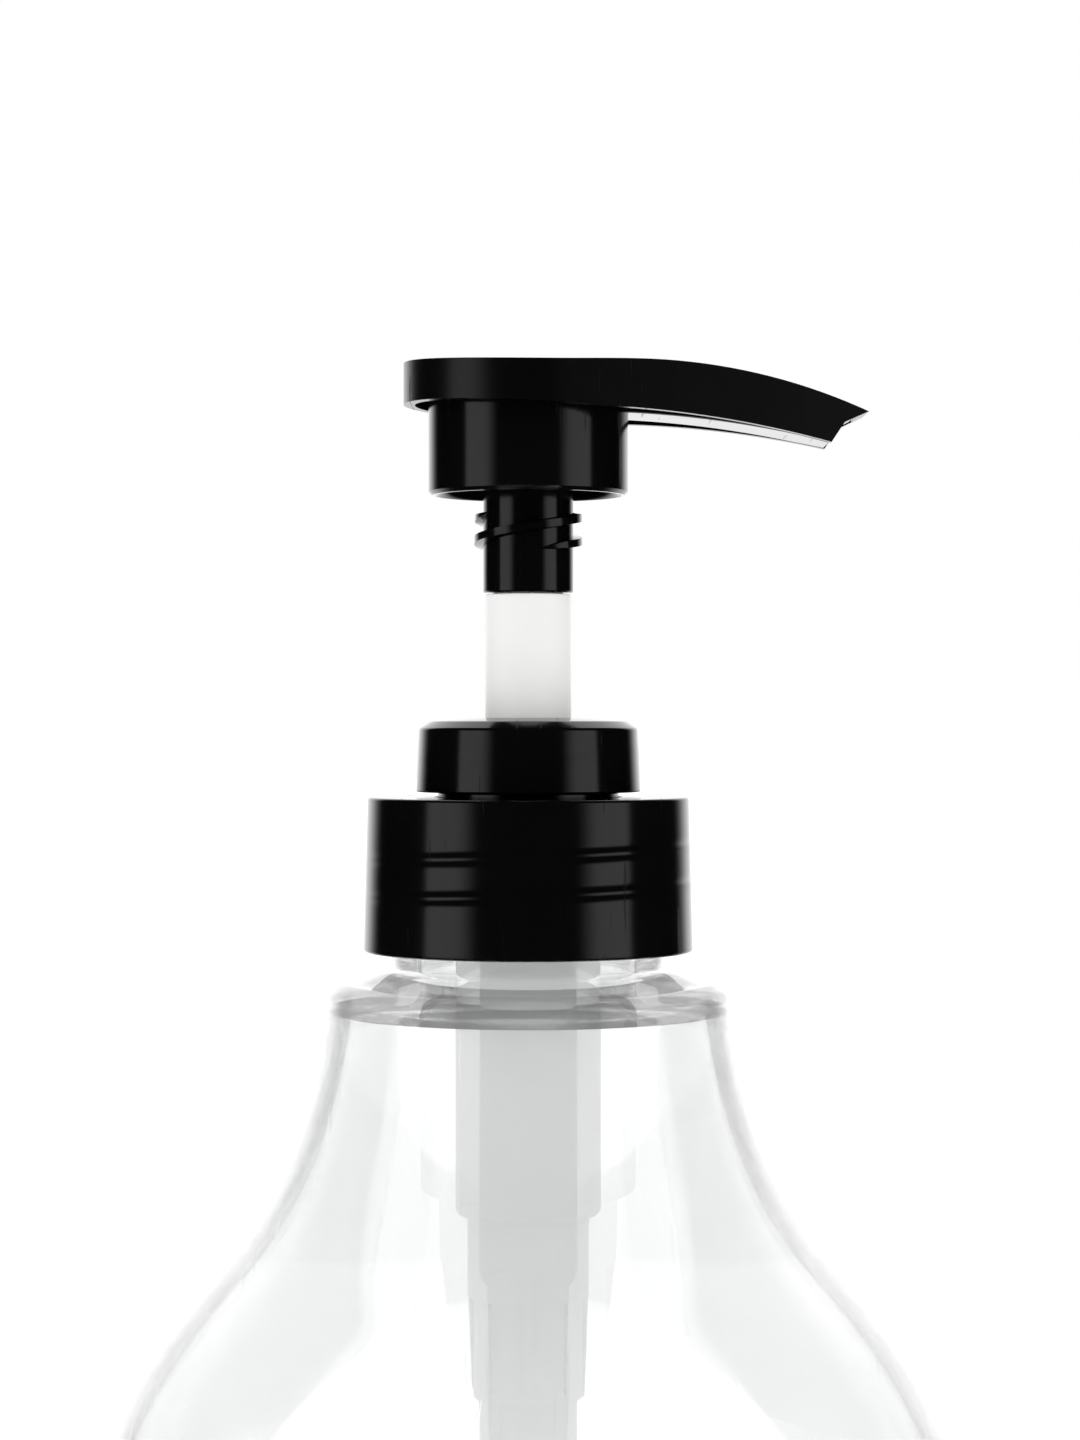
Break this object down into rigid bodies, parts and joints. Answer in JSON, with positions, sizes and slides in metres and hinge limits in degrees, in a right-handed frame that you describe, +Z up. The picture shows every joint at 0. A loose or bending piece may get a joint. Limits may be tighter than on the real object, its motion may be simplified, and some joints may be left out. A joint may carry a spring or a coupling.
{
  "type": "pump dispenser bottle",
  "caption": "Clear glass jug with an ogee shoulder and a black screw-on lotion pump: pressed head with a drooping spout, lock-down neck thread, white stem, sprung piston and dip tube.",
  "frame": {"origin": "centre of the bottle's bearing ring, on the plane it stands on", "axes": "+Z up along the bottle's axis; +X the way the spout points at rest"},
  "size_m": [0.1192, 0.1192, 0.3195],
  "materials": {
    "clear_glass": "clear, fire-polished",
    "black_plastic": "moulded gloss black with sink marks",
    "white_plastic": "satin white",
    "natural_plastic": "unpigmented, milky",
    "foam": "closed-cell foam",
    "steel": "drawn stainless wire and a polished ball"
  },
  "bodies": {
    "bottle_body": {"bottle": "clear_glass"},
    "pump_body": {"pump_housing": "natural_plastic", "collar": "black_plastic", "gasket": "foam", "dip_tube": "natural_plastic", "ball_cage": "natural_plastic"},
    "closure_ring": {"closure": "black_plastic"},
    "spring_body": {"return_spring": "steel"},
    "plunger": {"piston_rod": "white_plastic"},
    "stem_body": {"stem": "white_plastic"},
    "head": {"head_core": "black_plastic", "head_cover": "black_plastic"},
    "piston_body": {"piston": "natural_plastic"},
    "valve_ball": {"check_ball": "steel"}
  },
  "joints": [
    {"name": "closure_rise", "type": "slide", "parent": "bottle_body", "child": "pump_body", "axis": [0, 0, 1], "range_m": [0, 0.00634]},
    {"name": "closure_turn", "type": "hinge", "parent": "pump_body", "child": "closure_ring", "pos_m": [0, 0, 0.25], "axis": [0, 0, 1], "range_deg": [0, 540]},
    {"name": "press", "type": "slide", "parent": "pump_body", "child": "spring_body", "axis": [0, 0, -1], "range_m": [0, 0.022], "stiffness_N_per_m": 600, "springref_m": -0.015, "deforming": ["return_spring"]},
    {"name": "lock_drop", "type": "slide", "parent": "spring_body", "child": "plunger", "axis": [0, 0, -1], "range_m": [0, 0.00743]},
    {"name": "lock_turn", "type": "hinge", "parent": "plunger", "child": "stem_body", "pos_m": [0, 0, 0.27], "axis": [0, 0, -1], "range_deg": [0, 425]},
    {"name": "head_swivel", "type": "hinge", "parent": "stem_body", "child": "head", "pos_m": [0, 0, 0.3], "axis": [0, 0, 1], "continuous": true},
    {"name": "piston_slip", "type": "slide", "parent": "plunger", "child": "piston_body", "axis": [0, 0, 1], "range_m": [0, 0.0012]},
    {"name": "ball_lift", "type": "slide", "parent": "pump_body", "child": "valve_ball", "axis": [0, 0, 1], "range_m": [0, 0.0035]}
  ],
  "couplings": [
    {"joint": "closure_turn", "follows": "closure_rise", "rad_per_m": 1484.3},
    {"joint": "lock_turn", "follows": "lock_drop", "rad_per_m": 997.33}
  ]
}
